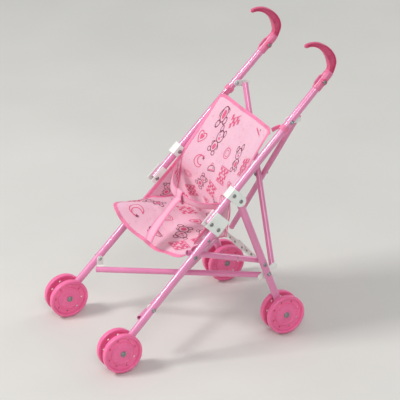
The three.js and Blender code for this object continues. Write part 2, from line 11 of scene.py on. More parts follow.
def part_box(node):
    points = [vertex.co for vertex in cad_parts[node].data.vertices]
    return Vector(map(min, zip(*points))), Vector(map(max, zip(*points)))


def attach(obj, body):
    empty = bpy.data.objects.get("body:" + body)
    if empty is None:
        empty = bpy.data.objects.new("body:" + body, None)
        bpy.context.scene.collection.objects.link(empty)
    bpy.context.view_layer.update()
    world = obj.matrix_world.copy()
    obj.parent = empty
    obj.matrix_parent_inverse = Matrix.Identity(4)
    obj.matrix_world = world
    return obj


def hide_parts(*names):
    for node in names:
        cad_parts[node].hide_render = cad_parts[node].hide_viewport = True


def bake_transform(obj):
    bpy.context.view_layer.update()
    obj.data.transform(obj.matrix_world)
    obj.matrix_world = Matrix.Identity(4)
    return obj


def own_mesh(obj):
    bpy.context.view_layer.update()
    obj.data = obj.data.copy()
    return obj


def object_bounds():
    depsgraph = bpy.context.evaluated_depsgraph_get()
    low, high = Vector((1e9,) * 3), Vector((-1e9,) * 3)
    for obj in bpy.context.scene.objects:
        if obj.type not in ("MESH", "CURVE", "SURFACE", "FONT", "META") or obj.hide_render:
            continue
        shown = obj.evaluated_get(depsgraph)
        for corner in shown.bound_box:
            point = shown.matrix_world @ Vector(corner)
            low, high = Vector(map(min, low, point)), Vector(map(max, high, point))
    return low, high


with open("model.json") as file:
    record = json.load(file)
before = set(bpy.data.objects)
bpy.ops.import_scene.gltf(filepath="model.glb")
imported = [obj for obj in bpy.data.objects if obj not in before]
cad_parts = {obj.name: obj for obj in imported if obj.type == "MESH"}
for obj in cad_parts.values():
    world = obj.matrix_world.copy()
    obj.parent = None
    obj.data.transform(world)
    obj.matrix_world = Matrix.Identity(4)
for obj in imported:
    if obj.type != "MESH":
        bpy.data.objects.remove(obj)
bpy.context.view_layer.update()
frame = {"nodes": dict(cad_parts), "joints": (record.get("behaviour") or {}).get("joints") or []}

MM = 0.001

# ---- Camera ----------------------------------------------
CAMERA_AZIMUTH = math.radians(63.4)
CAMERA_ELEVATION = math.radians(25.06)
CAMERA_DISTANCE = 3.817
CAMERA_LENS = 196.1
VIEW_CENTRE = Vector((0, -0.0443, 0.248))
VIEW_OFFSET = (0.05618, -0.00451)  # of the picture's middle, to the right and up


def make_camera():
    sa, ca = math.sin(CAMERA_AZIMUTH), math.cos(CAMERA_AZIMUTH)
    se, ce = math.sin(CAMERA_ELEVATION), math.cos(CAMERA_ELEVATION)
    look = Vector((-sa * ce, ca * ce, -se))
    right = Vector((ca, sa, 0))
    target = VIEW_CENTRE + right * VIEW_OFFSET[0] + right.cross(look) * VIEW_OFFSET[1]
    data = bpy.data.cameras.new("camera")
    data.lens = CAMERA_LENS
    data.clip_end = 100
    camera = bpy.data.objects.new("camera", data)
    camera.location = target - look * CAMERA_DISTANCE
    camera.rotation_mode = "QUATERNION"
    camera.rotation_quaternion = look.to_track_quat("-Z", "Y")
    bpy.context.scene.collection.objects.link(camera)
    bpy.context.scene.camera = camera


make_camera()

# ---- The side frame's own directions and places, from the joints 
joints = {j["name"]: j for j in frame["joints"]}


def pivot(name):
    return Vector(joints[name]["pos_m"])


KNEE = pivot("left_front_leg_fold")
REAR_PIVOT = pivot("left_rear_leg_fold")
REAR_AXLE = pivot("left_rear_wheels_spin")
OUT = Vector(joints["left_front_wheels_spin"]["axis"]).normalized()
LEVEL = Vector((0, 1, 0))
RISE = OUT.cross(LEVEL)
PUSH = (LEVEL + RISE).normalized()
BEHIND = (LEVEL - RISE).normalized()
REAR_DOWN = (REAR_AXLE - REAR_PIVOT).normalized()
REAR_BACK = OUT.cross(REAR_DOWN)

MAIN_R = 6.75 * MM
STAY_R = 5.25 * MM
TRACK_HALF = 116.5  # millimetres from the centre plane to a side frame, at the base line
STAGGER = 18 * MM  # front leg behind the push tube
CHEEK = 8.6 * MM  # a bracket's outer face from the side frame's plane


def on_push(along, behind=0.0, out=0.0):
    return KNEE + PUSH * (along * MM) + BEHIND * (behind * MM) + OUT * (out * MM)


def on_rear(along, behind=0.0, out=0.0):
    place = REAR_PIVOT + REAR_DOWN * (along * MM) + REAR_BACK * (behind * MM)
    return place + OUT * (out * MM)


def middle(node):
    low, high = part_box(node)
    return (Vector(low) + Vector(high)) / 2


# A round bar's two ends, from its node's box, its radius and the way that it runs.
def bar_ends(node, radius, signs):
    low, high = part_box(node)
    size = Vector(high) - Vector(low)
    run = size.normalized()
    for _ in range(30):
        reach = [max(s - 2 * radius * math.sqrt(max(0, 1 - d * d)), 0) for s, d in zip(size, run)]
        length = Vector(reach).length
        run = Vector(reach) / length
    half = Vector([d * s for d, s in zip(run, signs)]) * (length / 2)
    return middle(node) - half, middle(node) + half


# ---- Materials -------------------------------------------
# A colour written as on a screen, in the linear values that the shader takes.
def shade(code):
    channels = [int(code[i : i + 2], 16) / 255 for i in (0, 2, 4)]
    return [c / 12.92 if c <= 0.04045 else ((c + 0.055) / 1.055) ** 2.4 for c in channels] + [1]


class Shader:
    """A material's node tree, with short calls for its usual nodes."""

    def __init__(self, name, **sockets):
        self.material = bpy.data.materials.new(name)
        self.material.use_nodes = True
        self.tree = self.material.node_tree
        self.main = self.tree.nodes["Principled BSDF"]
        for key, value in sockets.items():
            self.main.inputs[key.replace("_", " ")].default_value = value

    def node(self, kind, **inputs):
        made = self.tree.nodes.new("ShaderNode" + kind)
        for key, value in inputs.items():
            self.put(made, key.replace("_", " "), value)
        return made

    def put(self, node, key, value):
        socket = node.inputs[int(key) if key.isdigit() else key]
        if isinstance(value, bpy.types.NodeSocket):
            self.tree.links.new(value, socket)
        else:
            socket.default_value = value

    def coords(self, kind="Object"):
        return self.node("TexCoord").outputs[kind]

    def noise(self, scale, detail=3, where=None):
        made = self.node("TexNoise", Scale=scale, Detail=detail)
        self.put(made, "Vector", where or self.coords())
        return made.outputs["Fac"]

    def ramp(self, value, low, high, a=(0, 0, 0, 1), b=(1, 1, 1, 1)):
        made = self.node("ValToRGB", Fac=value)
        ends = made.color_ramp.elements
        ends[0].position, ends[1].position = low, high
        ends[0].color, ends[1].color = a, b
        return made.outputs["Color"]

    def spread(self, value, low, high):
        made = self.node("MapRange", Value=value)
        self.put(made, "To Min", low)
        self.put(made, "To Max", high)
        return made.outputs["Result"]

    def math(self, kind, a, b=0.0):
        made = self.node("Math")
        made.operation = kind
        self.put(made, "0", a)
        self.put(made, "1", b)
        return made.outputs[0]

    def mix(self, share, a, b):
        made = self.node("Mix")
        made.data_type = "RGBA"
        for index, value in ((0, share), (6, a), (7, b)):
            self.put(made, str(index), value)
        return made.outputs[2]

    def bump(self, height, distance, strength=1.0):
        made = self.node("Bump", Height=height, Strength=strength, Distance=distance)
        return made.outputs["Normal"]

    def set(self, **links):
        for key, value in links.items():
            self.put(self.main, key.replace("_", " "), value)
        return self.material


def tint(colour, factor):
    return [min(c * factor, 1) for c in colour[:3]] + [1]


# Gloss enamel on tube: soft colour drift, orange peel, fine rubs and a few chips to steel.
def paint_material(name, code):
    colour = shade(code)
    s = Shader(name, Coat_Weight=1.0, Coat_Roughness=0.05)
    drift = s.ramp(s.noise(11), 0.3, 0.7, tint(colour, 0.9), tint(colour, 1.05))
    rubs = s.ramp(s.noise(160, 6), 0.66, 0.72)
    worn = s.mix(s.math("MULTIPLY", rubs, 0.35), drift, tint(colour, 1.25))
    chips = s.ramp(s.noise(75, 8), 0.735, 0.75)
    chipped = s.mix(chips, worn, shade("8a8288"))
    rough = s.spread(s.noise(38, 5), 0.16, 0.3)
    skin = s.bump(s.noise(650, 2), 0.00006, 0.35)
    return s.set(Base_Color=chipped, Roughness=rough, Normal=skin)


# Moulded plastic: faint flow marks, a fine spark-eroded grain and scuffs.
def plastic_material(name, code, rough, grain=0.5, glow=0.06):
    colour = shade(code)
    s = Shader(name, Subsurface_Weight=glow, Subsurface_Scale=0.004)
    flow = s.ramp(s.noise(22, 4), 0.3, 0.72, tint(colour, 0.9), tint(colour, 1.06))
    scuffs = s.ramp(s.noise(230, 7), 0.64, 0.72)
    scuffed = s.mix(s.math("MULTIPLY", scuffs, 0.22), flow, tint(colour, 1.35))
    skin = s.bump(s.noise(1500, 3), 0.00008, grain)
    texture = s.spread(s.noise(60, 5), rough - 0.07, rough + 0.1)
    return s.set(Base_Color=scuffed, Roughness=texture, Normal=skin)


def steel_material(name, code):
    colour = shade(code)
    s = Shader(name, Metallic=0.95)
    bloom = s.ramp(s.noise(420, 5), 0.35, 0.7, tint(colour, 0.62), tint(colour, 1.2))
    skin = s.bump(s.noise(1800, 4), 0.00005, 0.5)
    return s.set(Base_Color=bloom, Roughness=s.spread(s.noise(700, 4), 0.26, 0.5), Normal=skin)


# Thin bonded cloth: a lattice of pressed dots with painted shade darkening their sunk middles, fibres and
# soft blotches. UVs are metres of cloth.
def cloth_material(name, code, back_code):
    colour = shade(code)
    s = Shader(name, Sheen_Weight=0.25, Sheen_Roughness=0.5, Subsurface_Weight=0.12, Subsurface_Scale=0.003)
    flat = s.coords("UV")
    fibre = s.noise(1400, 6, flat)
    blotch = s.ramp(s.noise(34, 4, flat), 0.25, 0.75, tint(colour, 0.94), tint(shade(back_code), 1.0))
    lint = s.ramp(fibre, 0.35, 0.75, tint(colour, 0.93), tint(colour, 1.06))
    dots = s.node("TexVoronoi", Scale=620, Vector=flat, Randomness=0.12).outputs["Distance"]
    pressed = s.ramp(dots, 0.12, 0.42)
    base = s.mix(0.45, blotch, lint)
    # painted shade: the colour is darkened slightly overall and most in the pressed dots' sunk middles, by
    # the same mask that sinks them in the bump
    shaded = s.mix(s.math("MULTIPLY", pressed, 0.35), s.mix(0.18, base, tint(colour, 0.7)), base)
    height = s.math("ADD", s.math("MULTIPLY", pressed, 0.8), s.math("MULTIPLY", fibre, 0.5))
    rough = s.spread(s.noise(300, 4, flat), 0.66, 0.9)
    return s.set(Base_Color=shaded, Roughness=rough, Normal=s.bump(height, 0.00016, 0.6))


# Satin tape: ribs across it and a row of stitches. U runs along it, and V from -1 to 1 across.
def satin_material(name, code, stitch_at, middle_code=None):
    colour = shade(code)
    s = Shader(name, Sheen_Weight=0.45, Sheen_Roughness=0.35)
    split = s.node("SeparateXYZ", Vector=s.coords("UV"))
    along, across = split.outputs["X"], split.outputs["Y"]
    rib = s.math("SINE", s.math("MULTIPLY", along, 9000.0))
    off_row = s.math("ABSOLUTE", s.math("SUBTRACT", s.math("ABSOLUTE", across), stitch_at))
    row = s.math("LESS_THAN", off_row, 0.07)
    gap = s.math("LESS_THAN", s.math("FRACT", s.math("MULTIPLY", along, 330.0)), 0.68)
    stitch = s.math("MULTIPLY", row, gap)
    drift = s.ramp(s.noise(48, 5), 0.3, 0.7, tint(colour, 0.82), tint(colour, 1.12))
    if middle_code:
        edge = s.ramp(s.math("ABSOLUTE", across), 0.62, 0.7)
        drift = s.mix(edge, shade(middle_code), drift)
    thread = s.mix(stitch, drift, tint(colour, 1.45))
    height = s.math("ADD", s.math("MULTIPLY", rib, 0.12), s.math("MULTIPLY", stitch, 1.2))
    rough = s.spread(s.noise(260, 4), 0.34, 0.6)
    return s.set(Base_Color=thread, Roughness=rough, Normal=s.bump(height, 0.0002, 0.7))


def print_material(name, code):
    colour = shade(code)
    s = Shader(name, Sheen_Weight=0.15)
    worn = s.ramp(s.noise(900, 6), 0.3, 0.75, tint(colour, 0.85), tint(colour, 1.25))
    rough = s.spread(s.noise(500, 3), 0.6, 0.85)
    return s.set(Base_Color=worn, Roughness=rough, Normal=s.bump(s.noise(2200, 3), 0.00005, 0.5))


MATERIAL = {
    "paint": paint_material("gloss_enamel", "e588b4"),
    "grip": plastic_material("grip_plastic", "d8557f", 0.36),
    "socket": plastic_material("socket_plastic", "e2759c", 0.26),
    "wheel": plastic_material("wheel_plastic", "f873a6", 0.28),
    "white": plastic_material("white_plastic", "ecefe9", 0.45),
    "steel": steel_material("rivet_steel", "a3a2a4"),
    "cloth": cloth_material("bonded_cloth", "ecb6c9", "f0c4d3"),
    "satin": satin_material("satin_binding", "f07ca5", 0.62),
    "belt": satin_material("belt_tape", "f07ca5", 0.84, "f0abc3"),
    "dark_print": print_material("print_plum", "853350"),
    "pink_print": print_material("print_rose", "da5580"),
}

# ---- Mesh helpers ----------------------------------------
SHARP = math.radians(38)


# Makes an object of a bmesh, smooth except at sharp edges, and rides it on its body, if any.
def piece(name, bm, look, body, nodes=(), sharp=SHARP):
    bm.normal_update()
    for face in bm.faces:
        face.smooth = True
    for edge in bm.edges:
        if len(edge.link_faces) == 2:
            edge.smooth = edge.calc_face_angle(0) < sharp
    data = bpy.data.meshes.new(name)
    bm.to_mesh(data)
    bm.free()
    data.materials.append(MATERIAL[look])
    made = bpy.data.objects.new(name, data)
    bpy.context.scene.collection.objects.link(made)
    if body:
        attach(made, body)
    if nodes:
        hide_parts(*nodes)
    return made


def mirrored(bm):
    twin = bm.copy()
    for vert in twin.verts:
        vert.co.x = -vert.co.x
    bmesh.ops.reverse_faces(twin, faces=twin.faces)
    return twin


# A left piece and its mirror image. Names, bodies and nodes get the side's prefix.
def pair(name, bm, look, body, nodes=()):
    twin = mirrored(bm)
    made = []
    for side, mesh in (("left_", bm), ("right_", twin)):
        replaced = [side + node for node in nodes]
        made.append(piece(side + name, mesh, look, side + body, replaced))
    return made


# A frame whose x runs along a direction, at a place.
def facing(origin, direction, up=Vector((0, 0, 1))):
    x = direction.normalized()
    y = up.cross(x).normalized()
    z = x.cross(y)
    turn = Matrix((x, y, z)).transposed().to_4x4()
    return Matrix.Translation(origin) @ turn


# Rounds the corners of a list of 2-D points.
def rounded(points, radius, steps=4, closed=True):
    count = len(points)
    made = []
    for i, here in enumerate(points):
        here = Vector(here)
        if not closed and i in (0, count - 1):
            made.append(here)
            continue
        before = Vector(points[i - 1]) - here
        after = Vector(points[(i + 1) % count]) - here
        cut = min(radius, before.length * 0.45, after.length * 0.45)
        a, b = here + before.normalized() * cut, here + after.normalized() * cut
        for k in range(steps + 1):
            t = k / steps
            made.append(a * (1 - t) ** 2 + here * (2 * t * (1 - t)) + b * t**2)
    return made


# Turns a closed outline of (x, radius) points round the x axis of a placed frame.
def lathe(outline, place, segments):
    bm = bmesh.new()
    rings = []
    for k in range(segments):
        angle = 2 * math.pi * k / segments
        c, s = math.cos(angle), math.sin(angle)
        rings.append([bm.verts.new(place @ Vector((x, r * c, r * s))) for x, r in outline])
    count = len(outline)
    for k in range(segments):
        a, b = rings[k], rings[(k + 1) % segments]
        for i in range(count):
            j = (i + 1) % count
            bm.faces.new((a[i], a[j], b[j], b[i]))
    return tidy(bm)


def tidy(bm):
    bmesh.ops.remove_doubles(bm, verts=bm.verts, dist=1e-6)
    bmesh.ops.recalc_face_normals(bm, faces=bm.faces)
    return bm


# Sweeps rings of points, closing each ring and capping the ends.
def skin(rings, capped=True):
    bm = bmesh.new()
    made = [[bm.verts.new(p) for p in ring] for ring in rings]
    count = len(made[0])
    for a, b in zip(made, made[1:]):
        for i in range(count):
            j = (i + 1) % count
            bm.faces.new((a[i], a[j], b[j], b[i]))
    if capped:
        bm.faces.new(list(reversed(made[0])))
        bm.faces.new(made[-1])
    bmesh.ops.recalc_face_normals(bm, faces=bm.faces)
    return bm


# ---- Tubes -----------------------------------------------
TUBE_WALL = 0.9 * MM
MOUTH_DEPTH = 22 * MM  # how far an open end can be seen into


def tube_mesh(a, b, radius, segments=40):
    length = (b - a).length
    inner = radius - TUBE_WALL
    lip = 0.25 * MM
    outline = [
        (MOUTH_DEPTH, 0),
        (MOUTH_DEPTH, inner),
        (lip, inner),
        (0, inner + lip),
        (0, radius - lip),
        (lip, radius),
        (length - lip, radius),
        (length, radius - lip),
        (length, inner + lip),
        (length - lip, inner),
        (length - MOUTH_DEPTH, inner),
        (length - MOUTH_DEPTH, 0),
    ]
    return lathe(outline, facing(a, b - a), segments)


SIDE_TUBES = {
    "push_tube": ("push", MAIN_R, (-1, 1, 1)),
    "front_leg": ("front_leg", MAIN_R, (-1, 1, 1)),
    "rear_leg": ("rear_leg", MAIN_R, (-1, -1, 1)),
    "side_link": ("link", STAY_R, (1, 1, -1)),
}
CROSSED_STAYS = {
    "base_stay_upper": (1, 1, 1),
    "base_stay_lower": (-1, 1, 1),
    "back_stay_front": (-1, 1, 1),
    "back_stay_rear": (1, 1, 1),
}


def make_tubes():
    for name, (body, radius, signs) in SIDE_TUBES.items():
        a, b = bar_ends("left_" + name, radius, signs)
        pair(name + "_finish", tube_mesh(a, b, radius), "paint", body, [name])
    for name, signs in CROSSED_STAYS.items():
        a, b = bar_ends(name, STAY_R, signs)
        piece(name + "_finish", tube_mesh(a, b, STAY_R), "paint", name, [name])


# ---- Rivets ----------------------------------------------
HEAD_R = 3.7 * MM
HEAD_H = 1.5 * MM
SHANK_R = 1.9 * MM


# Half of a rivet's outline: a domed head with a small pit, above its seat at x.
def head_outline(seat, radius=HEAD_R):
    rim = 0.35 * MM
    pit = 1.1 * MM
    return [
        (seat, radius - rim * 0.4),
        (seat + rim, radius),
        (seat + HEAD_H * 0.7, radius * 0.78),
        (seat + HEAD_H, radius * 0.5),
        (seat + HEAD_H, pit),
        (seat + HEAD_H * 0.55, pit * 0.6),
        (seat + HEAD_H * 0.55, 0),
    ]


def rivet_mesh(centre, axis, half, shank=SHANK_R):
    seat = half - HEAD_H
    top = head_outline(seat)
    bottom = [(-x, r) for x, r in reversed(top)]
    outline = bottom + [(-seat, shank), (seat, shank)] + top
    return lathe(outline, facing(centre, axis), 24)


SIDE_RIVETS = {
    "grip_screw": "push",
    "upper_bracket_rivet": "push",
    "rear_leg_pivot": "push",
    "knee_pivot": "front_leg",
    "knee_rivet": "front_leg",
    "link_pin": "front_leg",
    "rear_link_rivet": "rear_leg",
}


def make_rivets():
    for name, body in SIDE_RIVETS.items():
        low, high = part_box("left_" + name)
        half = (high[0] - low[0] - 2 * HEAD_R * abs(OUT.z)) / (2 * OUT.x)
        mesh = rivet_mesh(middle("left_" + name), OUT, half)
        pair(name + "_finish", mesh, "steel", body, [name])
    low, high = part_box("back_stay_rivet")
    mesh = rivet_mesh(middle("back_stay_rivet"), LEVEL, (high[1] - low[1]) / 2)
    piece("back_stay_rivet_finish", mesh, "steel", "back_stay_rear", ["back_stay_rivet"])


FRONT_CLIP_ALONG = -177.6  # from the knee, along the front leg
REAR_CLIP_ALONG = 160.5  # from the rear leg's pivot
TOP_CLIP_ALONG = 223.4  # from the knee, along the push tube
CLIP_CAP_R = 3.95 * MM


# Steel caps over the moulded studs of the three clips.
def make_clip_caps():
    places = {
        "front_clip": ("front_leg", on_push(FRONT_CLIP_ALONG, STAGGER / MM)),
        "rear_clip": ("rear_leg", on_rear(REAR_CLIP_ALONG)),
        "top_clip": ("push", on_push(TOP_CLIP_ALONG)),
    }
    for name, (body, centre) in places.items():
        for face, seat, way in (("outer", MAIN_R + 0.1 * MM, OUT), ("inner", CHEEK, -OUT)):
            outline = [(seat, 0)] + head_outline(seat, CLIP_CAP_R)
            outline = [(x + 0.35 * MM if i > 3 else x, r) for i, (x, r) in enumerate(outline)]
            mesh = lathe(outline, facing(centre, way), 24)
            pair(f"{name}_{face}_cap", mesh, "steel", body, ())


# ---- Moulded and pressed fittings that keep their CAD shape 
FITTINGS = {
    "upper_bracket": 0.9,
    "knee_bracket": 0.9,
    "front_clip": 0.35,
    "rear_clip": 0.35,
    "top_clip": 0.35,
}


def soften(node, width):
    made = frame["nodes"][node]
    made.data.materials.clear()
    made.data.materials.append(MATERIAL["white"])
    weld = made.modifiers.new("weld", "WELD")
    weld.merge_threshold = 1e-5
    plain = made.modifiers.new("plain", "DECIMATE")
    plain.decimate_type = "DISSOLVE"
    plain.angle_limit = math.radians(2)
    round_off = made.modifiers.new("round", "BEVEL")
    round_off.width = width * MM
    round_off.segments = 3
    round_off.limit_method = "ANGLE"
    round_off.angle_limit = math.radians(35)
    round_off.harden_normals = True
    for face in made.data.polygons:
        face.use_smooth = True


def make_fittings():
    for name, width in FITTINGS.items():
        for side in ("left_", "right_"):
            soften(side + name, width)
    for name in ("spreader_left", "spreader_right"):
        soften(name, 0.35)


# Small rivets on the front of the spreader's halves, at shares of the way out.
SPREADER_STUDS = {
    "spreader_left": (1, (0.32, 0.46, 0.62, 0.93)),
    "spreader_right": (-1, (0.07, 0.3, 0.46, 0.62, 0.93)),
}


def make_spreader_details():
    for name, (sign, shares) in SPREADER_STUDS.items():
        low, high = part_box(name)
        inner = low[0] if sign > 0 else high[0]
        for i, share in enumerate(shares):
            x = inner + sign * (high[0] - low[0]) * share
            centre = Vector((x, low[1] - 0.05 * MM, middle(name).z))
            outline = [(0, 0)] + head_outline(0.1 * MM, 2.2 * MM)
            mesh = lathe(outline, facing(centre, -LEVEL), 16)
            piece(f"{name}_stud_{i}", mesh, "steel", name, ())


# ---- Wheels ----------------------------------------------
WHEEL_HOLES = 8
HOLE_RING = 25.2  # millimetres from the axle to the holes' middles
HOLE_R = 1.9
DRILL = (6, 18)  # where a drill starts and ends along the axle, past both faces of the web
WHEEL_TURNS = {"outer": 0.3, "inner": 0.9}  # radians, so that the holes don't line up


# A wheel about the x axis with its outer face towards +x, before it is placed.
def wheel_outline():
    corners = [
        (7.6, 2.6),
        (7.6, 8),
        (10.4, 9),
        (10.4, 29.4),
        (8, 30.6),
        (8, 34.9),
        (9.2, 36),
        (16.4, 36),
        (18, 34.4),
        (18, 31.8),
        (16.6, 30.6),
        (12.4, 29.8),
        (12.2, 21.8),
        (14.2, 20.6),
        (14.2, 18.8),
        (13.1, 17.8),
        (14.6, 10.2),
        (16.5, 7),
        (16.5, 2.6),
    ]
    return [(p.x * MM, p.y * MM) for p in rounded(corners, 1.2, 4)]


def wheel_template():
    bm = lathe(wheel_outline(), Matrix.Identity(4), 72)
    data = bpy.data.meshes.new("wheel")
    bm.to_mesh(data)
    bm.free()
    body = bpy.data.objects.new("wheel", data)
    drills = bmesh.new()
    for i in range(WHEEL_HOLES):
        angle = 2 * math.pi * i / WHEEL_HOLES
        reach = sum(DRILL) / 2 * MM
        place = Vector((reach, HOLE_RING * MM * math.cos(angle), HOLE_RING * MM * math.sin(angle)))
        half = (DRILL[1] - DRILL[0]) / 2 * MM
        outline = [(-half, 0), (-half, HOLE_R * MM), (half, HOLE_R * MM), (half, 0)]
        drill = lathe(outline, Matrix.Translation(place), 16)
        cut = bpy.data.meshes.new("drill")
        drill.to_mesh(cut)
        drill.free()
        drills.from_mesh(cut)
        bpy.data.meshes.remove(cut)
    cutter_data = bpy.data.meshes.new("drills")
    drills.to_mesh(cutter_data)
    drills.free()
    cutter = bpy.data.objects.new("drills", cutter_data)
    for made in (body, cutter):
        bpy.context.scene.collection.objects.link(made)
    cut = body.modifiers.new("holes", "BOOLEAN")
    cut.object = cutter
    cut.operation = "DIFFERENCE"
    cut.solver = "EXACT"
    bpy.context.view_layer.update()
    graph = bpy.context.evaluated_depsgraph_get()
    result = bmesh.new()
    result.from_mesh(body.evaluated_get(graph).data)
    for made in (body, cutter):
        bpy.data.objects.remove(made)
    return tidy(result)


def axle_mesh(centre, reach):
    washer = 5.6 * MM
    head = 3.9 * MM
    shank = 2.2 * MM
    thick = 0.5 * MM
    end = [
        (reach, shank),
        (reach, washer),
        (reach + thick, washer - 0.2 * MM),
        (reach + thick, head),
        (reach + 1.5 * MM, head * 0.8),
        (reach + 1.9 * MM, head * 0.5),
        (reach + 1.9 * MM, 0.9 * MM),
        (reach + 1.0 * MM, 0),
    ]
    outline = [(-x, r) for x, r in reversed(end)] + end
    return lathe(outline, facing(centre, OUT), 28)


def make_wheels():
    template = wheel_template()
    for end in ("front", "rear"):
        centre = pivot(f"left_{end}_wheels_spin")
        for kind, way in (("outer", OUT), ("inner", -OUT)):
            mesh = template.copy()
            turn = Matrix.Rotation(WHEEL_TURNS[kind], 4, "X")
            bmesh.ops.transform(mesh, matrix=facing(centre, way) @ turn, verts=mesh.verts)
            node = f"{end}_wheel_{kind}"
            pair(node + "_finish", mesh, "wheel", f"{end}_wheels", [node])
        mesh = axle_mesh(centre, 16.65 * MM)
        pair(f"{end}_axle_finish", mesh, "steel", f"{end}_wheels", [f"{end}_axle"])
    template.free()


# ---- Grips -----------------------------------------------
PUSH_TOP = 328.0
SOCKET_LENGTH = 34.0
SOCKET_R = 8.3
HOOK_REACH = 36.5
HOOK_RISE = 28.0
HOOK_TURN = 2.78
HOOK_DEPTHS = [6.3, 6.2, 7.7, 7.6, 6.5, 5.1, 3.8, 3.2]  # half depths, evenly along the hook


# The hook's line in its side frame: how far along and behind, how deep, and which way it heads.
def hook_station(share):
    angle = HOOK_TURN * share
    along = PUSH_TOP + HOOK_RISE * math.sin(angle)
    behind = -HOOK_REACH * (1 - math.cos(angle))
    depth = spline([(d, 0) for d in HOOK_DEPTHS], share).x
    heading = math.atan2(-HOOK_REACH * math.sin(angle), HOOK_RISE * math.cos(angle))
    return along, behind, depth, heading


# One ring of the hook: two rims with a sunk web between them, seen on both sides.
def hook_ring(share, sink):
    along, behind, depth, heading = hook_station(share)
    width = depth * 0.86
    rim = min(2.0, depth * 0.4)
    web = width - 3.4 * sink
    half = [
        (depth, width * 0.35),
        (depth * 0.94, width * 0.85),
        (depth - rim * 0.5, width),
        (depth - rim, width * 0.97),
        (depth - rim - 0.3, web),
        (0, web),
        (-depth + rim + 0.3, web),
        (-depth + rim, width * 0.97),
        (-depth + rim * 0.5, width),
        (-depth * 0.94, width * 0.85),
        (-depth, width * 0.35),
    ]
    section = half + [(d, -w) for d, w in reversed(half)]
    across = (-math.sin(heading), math.cos(heading))
    return [on_push(along + d * across[0], behind + d * across[1], w) for d, w in section]


def grip_mesh():
    rings = []
    steps = 44
    rib = 0.38
    for i in range(steps + 1):
        share = i / steps
        sink = min(1, max(0, (share - 0.06) / 0.05)) * min(1, max(0, (0.97 - share) / 0.03))
        if abs(share - rib) < 0.016:
            sink = -0.12
        rings.append(hook_ring(share, sink))
    tip = rings[-1]
    centre = sum(tip, Vector()) / len(tip)
    ahead = (centre - sum(rings[-3], Vector()) / len(tip)).normalized()
    for share, shrink in ((1.6, 0.86), (2.6, 0.6), (3.1, 0.25)):
        rings.append([centre + ahead * (share * MM) + (p - centre) * shrink for p in tip])
    return skin(rings)


def socket_mesh():
    mouth = PUSH_TOP - SOCKET_LENGTH
    wall = SOCKET_R - 0.2
    corners = [
        (0, 7.1),
        (0, wall - 0.5),
        (1.6, wall),
        (SOCKET_LENGTH - 2, SOCKET_R),
        (SOCKET_LENGTH + 5, SOCKET_R * 0.9),
        (SOCKET_LENGTH + 5, 0),
        (SOCKET_LENGTH + 1, 0),
        (SOCKET_LENGTH + 1, 7.1),
    ]
    outline = [(p.x * MM, p.y * MM) for p in rounded(corners, 0.5, 2)]
    return lathe(outline, facing(on_push(mouth), PUSH), 40)


# The fin on the socket's front, and the boss round its screw.
def fin_mesh():
    mouth = PUSH_TOP - SOCKET_LENGTH
    line = [(3, 0.2), (7, 3.6), (22, 4.2), (27, 0.4)]
    outline = rounded([(mouth + a, -SOCKET_R - rise + 0.6) for a, rise in line], 1.2, 3, False)
    outline += [Vector((mouth + 27, -SOCKET_R + 1.5)), Vector((mouth + 3, -SOCKET_R + 1.5))]
    half = 1.4
    rings = [[on_push(a, b, w) for a, b in outline] for w in (-half, -half * 0.9, half * 0.9, half)]
    for ring in (rings[0], rings[3]):
        centre = sum(ring, Vector()) / len(ring)
        ring[:] = [centre + (p - centre) * 0.93 for p in ring]
    return skin(rings)


def boss_mesh():
    corners = [(-9.3, 0), (-9.3, 5.4), (-7, 5.9), (7, 5.9), (9.3, 5.4), (9.3, 0)]
    outline = [(p.x * MM, p.y * MM) for p in rounded(corners, 0.6, 2, False)]
    return lathe(outline, facing(middle("left_grip_screw"), OUT), 28)


def make_grips():
    pair("grip_hook", grip_mesh(), "grip", "push", ["grip"])
    pair("grip_socket", socket_mesh(), "socket", "push", ())
    pair("grip_fin", fin_mesh(), "socket", "push", ())
    pair("grip_boss", boss_mesh(), "grip", "push", ())


# ---- The sling's cloth, as grids of points ---------------
# The cloth's places are millimetres from the side frames' base line, which has the knee here.
BASE_LINE_KNEE = (176.777, 240.686)
SHIFT = Vector((0, KNEE.y - BASE_LINE_KNEE[0] * MM, KNEE.z - BASE_LINE_KNEE[1] * MM))
SEAM = (229, 190)  # y, z of the seam between the back and the base, in its middle
CORNER = (213, 203)  # and at its ends


def yz(x, y, z):
    return Vector((x, y, z)) * MM + SHIFT


# A smooth line through points, at a share of its whole length of knots.
def spline(points, share):
    t = min(max(share, 0), 1) * (len(points) - 1)
    i = min(int(t), len(points) - 2)
    t -= i
    p = [Vector(points[min(max(i + k, 0), len(points) - 1)]) for k in (-1, 0, 1, 2)]
    return (
        p[1] * 2
        + (p[2] - p[0]) * t
        + (p[0] * 2 - p[1] * 5 + p[2] * 4 - p[3]) * t**2
        + (p[1] * 3 - p[0] - p[2] * 3 + p[3]) * t**3
    ) / 2


def inner_x(z):
    """The side tubes' inner faces, in millimetres from the centre plane."""
    return TRACK_HALF - z * OUT.z / OUT.x - MAIN_R / MM


def crumple(x, y, z, size, height):
    """Soft creases: how far cloth stands off its plain shape, in millimetres."""
    place = Vector((x, y, z)) / size
    fold = noise.noise(place) + 0.5 * noise.noise(place * 2.3 + Vector((7, 3, 1)))
    crease = 0.6 - abs(noise.noise(place * 1.4 + Vector((2, 9, 5)))) * 2
    return height * (fold + 0.5 * max(crease, 0))


BACK_MIDDLE = [SEAM, (233, 212), (236, 240), (246, 276), (271, 322), (306, 385)]
BACK_SIDE = [CORNER, (216, 221), (221, 247), (224, 280), (256, 324), (303, 387)]


